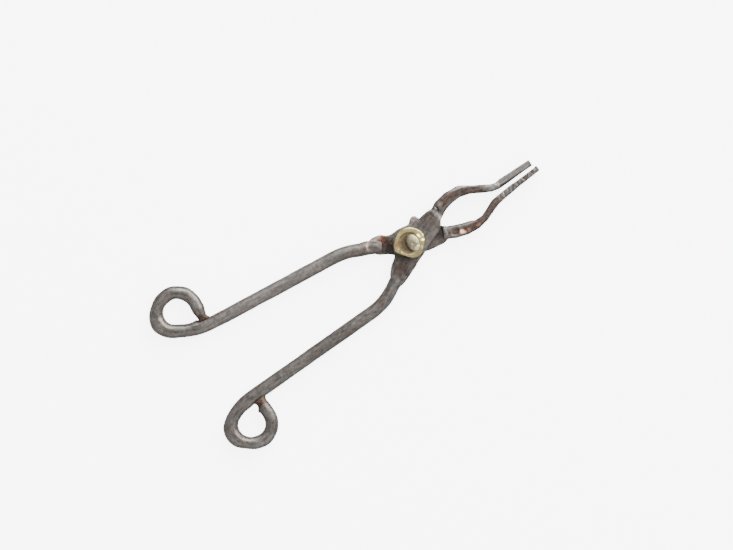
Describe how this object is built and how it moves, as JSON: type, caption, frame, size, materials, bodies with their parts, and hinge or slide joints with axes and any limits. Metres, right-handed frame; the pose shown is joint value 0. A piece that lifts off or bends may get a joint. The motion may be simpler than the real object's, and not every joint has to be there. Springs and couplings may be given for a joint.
{
  "type": "crucible tongs",
  "caption": "Miniature hand-forged steel tongs: crossed arms on a rivet with a brass rove, bowed jaws with flat straight tips, and handles rolled into closed teardrop eyes.",
  "frame": {"origin": "on the rivet's axis, at the flat underside of the rivet's back head, in the plane that the tongs lie on", "axes": "+X from the rivet towards the jaws, along the tongs' length; +Y towards the back arm's handle; +Z along the rivet, out of the brass rove"},
  "size_m": [0.0513, 0.0231, 0.0021],
  "materials": {
    "forged_steel": "hammered, mottled grey with copper and rust remains",
    "rivet_metal": "peened, tarnished to a grey gold",
    "rove_brass": "rolled, lightly tarnished",
    "braze": "dark oxidised brown"
  },
  "bodies": {
    "back_half": {"back_arm": "forged_steel", "rivet": "rivet_metal", "brass_rove": "rove_brass", "back_eye_braze": "braze"},
    "front_half": {"front_arm": "forged_steel", "front_eye_braze": "braze"}
  },
  "joints": [
    {"name": "pivot", "type": "hinge", "parent": "back_half", "child": "front_half", "pos_m": [0, 0, 0.0008], "axis": [0, 0, 1], "range_deg": [-1.1, 95]}
  ]
}
